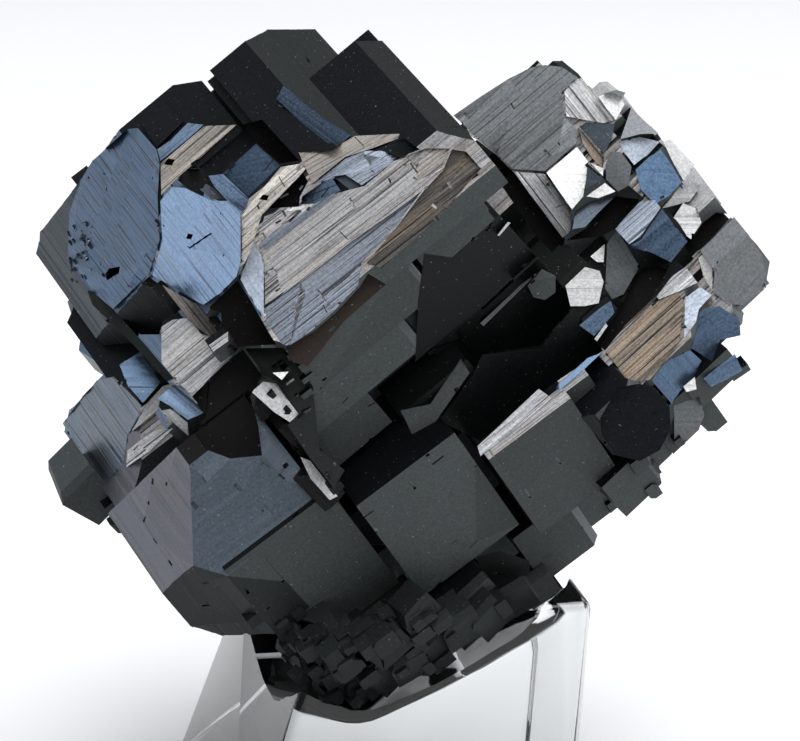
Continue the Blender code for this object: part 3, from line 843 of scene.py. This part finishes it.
def sink_vertex(vert, facet, height, inside):
    """Moves a cut's vertex along the facet's normal, keeping it in the plane of the face beside."""
    beside = [face for face in vert.link_faces if face not in inside]
    if not beside:
        vert.co += facet.normal * height
        return
    if len(vert.link_faces) - len(beside) < 2 or len(beside) > 1:
        return
    other = beside[0].normal
    run = facet.along.dot(other)
    if abs(run) < 0.15:
        return
    slide = -height * facet.normal.dot(other) / run
    if abs(slide) > 2.0 * abs(height):
        return
    vert.co += facet.normal * height + facet.along * slide


def line_positions(face, facet, chance, gap, depth):
    """Where a facet's growth lines lie across it, and how deep each one is."""
    reaches = [vert.co.dot(facet.across) for vert in face.verts]
    place = min(reaches)
    end = max(reaches)
    positions = []
    heights = []
    while True:
        place += gap * MM * chance.choice((0.35, 0.5, 0.8, 1.0, 1.7, 2.6))
        if place > end - 0.1 * MM:
            break
        positions.append(place)
        sign = -1.0 if len(positions) % 2 else -0.15
        heights.append(sign * depth * MM * chance.uniform(0.4, 1.0))
    return positions, heights


def striate(mesh, facets, chance):
    """Cuts the growth lines into every facet that carries them."""
    layer = mesh.faces.layers.int["facet"]
    for face in list(mesh.faces):
        facet = facets[face[layer]]
        if facet.area < 1.0 or not facet.carries_lines:
            continue
        depth = 0.04 + 0.05 * facet.striated
        positions, heights = line_positions(face, facet, chance, 0.42, depth)
        cut_lines(mesh, face, facet, positions, heights)


def store_painted_light_and_finish(mesh, facets):
    """Writes each face's growth coordinates, in millimetres, its colour with painted light and shade, and its
    finish.
    """
    layer = mesh.faces.layers.int["facet"]
    growth = mesh.loops.layers.uv.new("Growth")
    colour = mesh.loops.layers.float_color.new("Facet Colour")
    finish = mesh.loops.layers.float_color.new("Facet Finish")
    for face in mesh.faces:
        facet = facets[face[layer]]
        for loop in face.loops:
            place = loop.vert.co / MM
            loop[growth].uv = (
                place.dot(facet.along) + facet.shift[0],
                place.dot(facet.across) + facet.shift[1],
            )
            loop[colour] = (*facet.colour, 1.0)
            loop[finish] = (facet.roughness, facet.metallic, facet.striated, facet.warm)


def link(tree, start, end):
    tree.links.new(start, end)


def node(tree, kind, place=(0, 0), **values):
    made = tree.nodes.new(kind)
    made.location = place
    for name, value in values.items():
        setattr(made, name, value)
    return made


def streaks(tree, source, scale, detail):
    """A noise drawn out along the growth lines."""
    mapping = node(tree, "ShaderNodeMapping")
    mapping.inputs["Scale"].default_value = (scale[0], scale[1], 1.0)
    link(tree, source, mapping.inputs["Vector"])
    noise = node(tree, "ShaderNodeTexNoise", noise_dimensions="2D")
    noise.inputs["Scale"].default_value = 1.0
    noise.inputs["Detail"].default_value = detail
    link(tree, mapping.outputs["Vector"], noise.inputs["Vector"])
    return noise.outputs["Fac"]


def ranged(tree, source, low, high, start, end):
    """Maps low to high of a value onto start to end, and holds it there."""
    made = node(tree, "ShaderNodeMapRange")
    link(tree, source, made.inputs["Value"])
    for name, value in (("From Min", low), ("From Max", high), ("To Min", start), ("To Max", end)):
        made.inputs[name].default_value = value
    return made.outputs["Result"]


def multiply(tree, first, second):
    made = node(tree, "ShaderNodeMath", operation="MULTIPLY")
    link(tree, first, made.inputs[0])
    if isinstance(second, float):
        made.inputs[1].default_value = second
    else:
        link(tree, second, made.inputs[1])
    return made.outputs[0]


def mixed(tree, factor, first, second, blend="MIX"):
    """A mix of two colours, each a socket or a value."""
    made = node(tree, "ShaderNodeMix", data_type="RGBA", blend_type=blend)
    for socket, value in (("Factor", factor), (6, first), (7, second)):
        if isinstance(value, (float, tuple)):
            made.inputs[socket].default_value = value
        else:
            link(tree, value, made.inputs[socket])
    return made.outputs[2]


def magnetite_material(settings):
    """Metallic dark crystal faces, with growth lines, brown bands and dull grains, painted shade in the
    grooves and painted glints.
    """
    material = bpy.data.materials.new("magnetite")
    material.use_nodes = True
    tree = material.node_tree
    shader = tree.nodes["Principled BSDF"]
    colour = node(tree, "ShaderNodeVertexColor", layer_name="Facet Colour")
    finish = node(tree, "ShaderNodeVertexColor", layer_name="Facet Finish")
    parts = node(tree, "ShaderNodeSeparateColor")
    link(tree, finish.outputs["Color"], parts.inputs["Color"])
    growth = node(tree, "ShaderNodeUVMap", uv_map="Growth").outputs["UV"]
    place = node(tree, "ShaderNodeTexCoord").outputs["Object"]
    bands = streaks(tree, growth, (0.05, 0.8), 3.0)
    lines = streaks(tree, growth, (0.05, 5.0), 3.0)
    hairs = streaks(tree, growth, (0.2, 16.0), 2.0)
    grain = node(tree, "ShaderNodeTexNoise")
    grain.inputs["Scale"].default_value = 5000.0
    grain.inputs["Detail"].default_value = 4.0
    link(tree, place, grain.inputs["Vector"])
    striated = parts.outputs["Blue"]
    brown = multiply(tree, ranged(tree, bands, 0.45, 0.62, 0.0, 0.75), finish.outputs["Alpha"])
    tinted = mixed(tree, brown, colour.outputs["Color"], (0.30, 0.235, 0.175, 1.0))
    # Painted shade: the colour goes to near black along the grooves of the growth lines and hair lines.
    groove_shade = multiply(tree, ranged(tree, lines, 0.44, 0.30, 0.0, 0.7), striated)
    groove_shaded = mixed(tree, groove_shade, tinted, (0.012, 0.011, 0.011, 1.0))
    hair_shade = multiply(tree, ranged(tree, hairs, 0.46, 0.32, 0.0, 0.45), striated)
    groove_shaded = mixed(tree, hair_shade, groove_shaded, (0.012, 0.011, 0.011, 1.0))
    shade = ranged(tree, grain.outputs["Fac"], 0.3, 0.7, 0.75, 1.25)
    final = mixed(tree, 1.0, groove_shaded, shade, "MULTIPLY")
    # Painted glints: tiny bright specks mixed into the colour.
    glint_specks = node(tree, "ShaderNodeTexNoise")
    glint_specks.inputs["Scale"].default_value = 5200.0
    glint_specks.inputs["Detail"].default_value = 1.0
    link(tree, place, glint_specks.inputs["Vector"])
    bright = ranged(tree, glint_specks.outputs["Fac"], 0.74, 0.79, 0.0, 0.4)
    final = mixed(tree, bright, final, (0.45, 0.46, 0.47, 1.0))
    link(tree, final, shader.inputs["Base Color"])
    shader.inputs["Specular IOR Level"].default_value = 0.2
    link(tree, parts.outputs["Green"], shader.inputs["Metallic"])
    rough = node(tree, "ShaderNodeMath", operation="ADD")
    link(tree, parts.outputs["Red"], rough.inputs[0])
    link(tree, ranged(tree, grain.outputs["Fac"], 0.3, 0.7, -0.06, 0.10), rough.inputs[1])
    link(tree, rough.outputs[0], shader.inputs["Roughness"])
    relief = node(tree, "ShaderNodeMath", operation="MULTIPLY_ADD")
    link(tree, lines, relief.inputs[0])
    relief.inputs[1].default_value = 1.0
    link(tree, multiply(tree, hairs, 0.35), relief.inputs[2])
    streaked = multiply(tree, relief.outputs[0], striated)
    height = node(tree, "ShaderNodeMath", operation="MULTIPLY_ADD")
    link(tree, grain.outputs["Fac"], height.inputs[0])
    height.inputs[1].default_value = 0.18
    link(tree, streaked, height.inputs[2])
    bump = node(tree, "ShaderNodeBump")
    bump.inputs["Strength"].default_value = 0.6
    bump.inputs["Distance"].default_value = 0.00006
    link(tree, height.outputs[0], bump.inputs["Height"])
    link(tree, bump.outputs["Normal"], shader.inputs["Normal"])
    return material


def acrylic_material(settings):
    """Clear polished acrylic, its transmission tinted slightly grey as painted shade for the darker things
    seen through it.
    """
    material = bpy.data.materials.new("clear_acrylic")
    material.use_nodes = True
    shader = material.node_tree.nodes["Principled BSDF"]
    # Painted shade: a slight grey tint stands in for the darker surroundings seen through the block.
    shader.inputs["Base Color"].default_value = (0.89, 0.905, 0.91, 1.0)
    shader.inputs["Roughness"].default_value = settings.roughness
    shader.inputs["IOR"].default_value = 1.49
    shader.inputs["Transmission Weight"].default_value = 1.0
    return material


# The stand's size in millimetres, its turn about the vertical and its top's shift to the right.
STAND_HEIGHT = 22.0
STAND_BASE = (27.5, 29.0)
STAND_TOP = (21.5, 26.0)
STAND_TOP_SHIFT = 5.0
STAND_TURN = math.radians(12.0)


def stand_block(settings):
    """The leaning block with its rounded edges."""
    mesh = bmesh.new()
    rings = []
    for height, (width, depth), shift in ((0.0, STAND_BASE, 0.0), (STAND_HEIGHT, STAND_TOP, STAND_TOP_SHIFT)):
        ring = []
        for across, along in ((-1, -1), (1, -1), (1, 1), (-1, 1)):
            place = Vector((shift + across * width / 2, along * depth / 2, height))
            ring.append(mesh.verts.new(place * MM))
        rings.append(ring)
    mesh.faces.new(list(reversed(rings[0])))
    mesh.faces.new(rings[1])
    for i in range(4):
        j = (i + 1) % 4
        mesh.faces.new((rings[0][i], rings[0][j], rings[1][j], rings[1][i]))
    turn = Matrix.Rotation(STAND_TURN, 3, "Z")
    bmesh.ops.rotate(mesh, cent=(0.0, 0.0, 0.0), matrix=turn, verts=mesh.verts)
    bmesh.ops.recalc_face_normals(mesh, faces=mesh.faces)
    bmesh.ops.bevel(
        mesh,
        geom=list(mesh.edges),
        offset=settings.edge_radius,
        segments=4,
        profile=0.5,
        affect="EDGES",
        material=-1,
    )
    return mesh


def seat_scoop(stone, settings):
    """The rounded hollow that the stone's foot rests in, with a thin gap all round."""
    mesh = bmesh.new()
    for vert in stone.data.vertices:
        if vert.co.z < (STAND_HEIGHT + 0.6) * MM:
            mesh.verts.new(vert.co)
    bmesh.ops.remove_doubles(mesh, verts=mesh.verts, dist=0.8 * MM)
    hull = bmesh.ops.convex_hull(mesh, input=mesh.verts)
    spare = {item for item in hull["geom_interior"] if isinstance(item, bmesh.types.BMVert)}
    bmesh.ops.delete(mesh, geom=list(spare), context="VERTS")
    bmesh.ops.subdivide_edges(mesh, edges=mesh.edges, cuts=2, smooth=1.0, use_grid_fill=True)
    for _ in range(3):
        bmesh.ops.smooth_vert(
            mesh, verts=mesh.verts, factor=0.5, use_axis_x=True, use_axis_y=True, use_axis_z=True
        )
    bmesh.ops.recalc_face_normals(mesh, faces=mesh.faces)
    mesh.normal_update()
    for vert in mesh.verts:
        vert.co += vert.normal * settings.seat_gap
    return mesh


def polish(piece):
    """Shades the curved parts smooth and keeps the edges between flat parts sharp."""
    mesh = read_mesh(piece)
    for face in mesh.faces:
        face.smooth = True
        face.material_index = 0
    for edge in mesh.edges:
        edge.smooth = not edge.is_manifold or edge.calc_face_angle() < math.radians(28.0)
    mesh.to_mesh(piece.data)
    mesh.free()


class StoneSettings(bpy.types.PropertyGroup):
    seed: IntProperty(name="Seed", description="Start of the growth lines' random run", default=7)


class StandSettings(bpy.types.PropertyGroup):
    roughness: FloatProperty(name="Roughness", description="Polish of the stand", default=0.02)
    edge_radius: FloatProperty(
        name="Edge Radius", description="Rounding of the block's edges", default=0.0007, unit="LENGTH"
    )
    seat_gap: FloatProperty(
        name="Seat Gap", description="Room between the stone and its seat", default=0.0009, unit="LENGTH"
    )


class StageSettings(bpy.types.PropertyGroup):
    floor_size: FloatProperty(
        name="Floor Size", description="Side of the floor", default=3.0, unit="LENGTH"
    )


class SPECIMEN_OT_stone(bpy.types.Operator):
    """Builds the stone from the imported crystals"""

    bl_idname = "specimen.stone"
    bl_label = "Magnetite Stone"

    def execute(self, context):
        settings = context.scene.specimen_stone
        chance = random.Random(settings.seed)
        piece, mesh, traced = detailed_stone(chance)
        facets = label_facets(mesh, traced, chance)
        striate(mesh, facets, chance)
        store_painted_light_and_finish(mesh, facets)
        for face in mesh.faces:
            face.material_index = 0
        mesh.to_mesh(piece.data)
        mesh.free()
        piece.data.materials.clear()
        piece.data.materials.append(magnetite_material(settings))
        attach(piece, "root")
        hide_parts("magnetite_crystals")
        return {"FINISHED"}


class SPECIMEN_OT_stand(bpy.types.Operator):
    """Builds the clear stand, with a seat that follows the stone's foot"""

    bl_idname = "specimen.stand"
    bl_label = "Clear Stand"

    def execute(self, context):
        settings = context.scene.specimen_stand
        stone = bpy.data.objects["magnetite_stone"]
        piece = new_piece("clear_stand", stand_block(settings))
        boolean(piece, "DIFFERENCE", seat_scoop(stone, settings))
        polish(piece)
        piece.data.materials.clear()
        piece.data.materials.append(acrylic_material(settings))
        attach(piece, "root")
        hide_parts("acrylic_stand")
        return {"FINISHED"}


# Each light by its name: the direction that it comes from (azimuth, elevation), its distance,
# width and height in metres, its brightness and its colour.
LIGHTS = (
    ("front_light", (-4.0, 30.0), 0.60, (0.24, 0.16), 3.2, (1.0, 0.97, 0.92)),
    ("top_light", (30.0, 80.0), 0.70, (0.90, 0.90), 3.4, (1.0, 1.0, 1.0)),
    ("left_light", (-110.0, 12.0), 0.6, (0.40, 0.25), 2.0, (0.80, 0.90, 1.0)),
    ("right_light", (75.0, 30.0), 0.60, (0.35, 0.25), 3.0, (1.0, 0.99, 0.97)),
)


def add_light(name, direction, distance, size, brightness, colour):
    data = bpy.data.lights.new(name, "AREA")
    data.shape = "RECTANGLE"
    data.size, data.size_y = size
    data.energy = brightness * math.pi * size[0] * size[1]
    data.color = colour
    azimuth, elevation = (math.radians(angle) for angle in direction)
    back = Vector(
        (
            math.sin(azimuth) * math.cos(elevation),
            -math.cos(azimuth) * math.cos(elevation),
            math.sin(elevation),
        )
    )
    lamp = bpy.data.objects.new(name, data)
    bpy.context.scene.collection.objects.link(lamp)
    lamp.location = STONE_PLACE + back * distance
    lamp.rotation_euler = back.to_track_quat("Z", "Y").to_euler()
    return lamp


def add_camera():
    data = bpy.data.cameras.new("camera")
    data.sensor_width = 36.0
    data.lens = data.sensor_width * CAMERA_DISTANCE / CAMERA_FIELD
    data.clip_start = 0.01
    data.clip_end = 20.0
    camera = bpy.data.objects.new("camera", data)
    bpy.context.scene.collection.objects.link(camera)
    back = FRONT @ Vector((0.0, 0.0, 1.0))
    camera.location = STONE_PLACE + back * CAMERA_DISTANCE
    camera.rotation_euler = back.to_track_quat("Z", "Y").to_euler()
    bpy.context.scene.camera = camera


class SPECIMEN_OT_stage(bpy.types.Operator):
    """Makes the floor, the lights and the camera"""

    bl_idname = "specimen.stage"
    bl_label = "Stage"

    def execute(self, context):
        scene = context.scene
        settings = scene.specimen_stage
        mesh = bmesh.new()
        bmesh.ops.create_grid(mesh, x_segments=1, y_segments=1, size=settings.floor_size / 2)
        material = bpy.data.materials.new("floor")
        material.use_nodes = True
        shader = material.node_tree.nodes["Principled BSDF"]
        shader.inputs["Base Color"].default_value = (0.89, 0.90, 0.915, 1.0)
        shader.inputs["Roughness"].default_value = 0.6
        floor = new_piece("floor", mesh, material)
        for row in LIGHTS:
            add_light(*row)
        world = bpy.data.worlds.new("studio")
        world.use_nodes = True
        world.node_tree.nodes["Background"].inputs["Color"].default_value = (0.24, 0.245, 0.255, 1.0)
        scene.world = world
        scene.view_settings.view_transform = "Standard"
        add_camera()
        return {"FINISHED"}


class SPECIMEN_PT_panel(bpy.types.Panel):
    """Lists the specimen's pieces and their settings"""

    bl_idname = "SPECIMEN_PT_panel"
    bl_label = "Magnetite Specimen"
    bl_space_type = "VIEW_3D"
    bl_region_type = "UI"
    bl_category = "Specimen"

    def draw(self, context):
        layout = self.layout
        scene = context.scene
        for group in (scene.specimen_stone, scene.specimen_stand, scene.specimen_stage):
            for name in group.bl_rna.properties.keys():
                if name not in ("rna_type", "name"):
                    layout.prop(group, name)
        for operator in PIECES:
            layout.operator(operator.bl_idname)


PIECES = (SPECIMEN_OT_stone, SPECIMEN_OT_stand, SPECIMEN_OT_stage)
CLASSES = (StoneSettings, StandSettings, StageSettings, *PIECES, SPECIMEN_PT_panel)


def register():
    for each in CLASSES:
        bpy.utils.register_class(each)
    bpy.types.Scene.specimen_stone = PointerProperty(type=StoneSettings)
    bpy.types.Scene.specimen_stand = PointerProperty(type=StandSettings)
    bpy.types.Scene.specimen_stage = PointerProperty(type=StageSettings)


def unregister():
    del bpy.types.Scene.specimen_stage
    del bpy.types.Scene.specimen_stand
    del bpy.types.Scene.specimen_stone
    for each in reversed(CLASSES):
        bpy.utils.unregister_class(each)


def main():
    for old in [item for item in bpy.data.objects if item.type in ("LIGHT", "CAMERA")]:
        bpy.data.objects.remove(old, do_unlink=True)
    register()
    bpy.ops.specimen.stone()
    bpy.ops.specimen.stand()
    bpy.ops.specimen.stage()


if __name__ == "__main__":
    main()
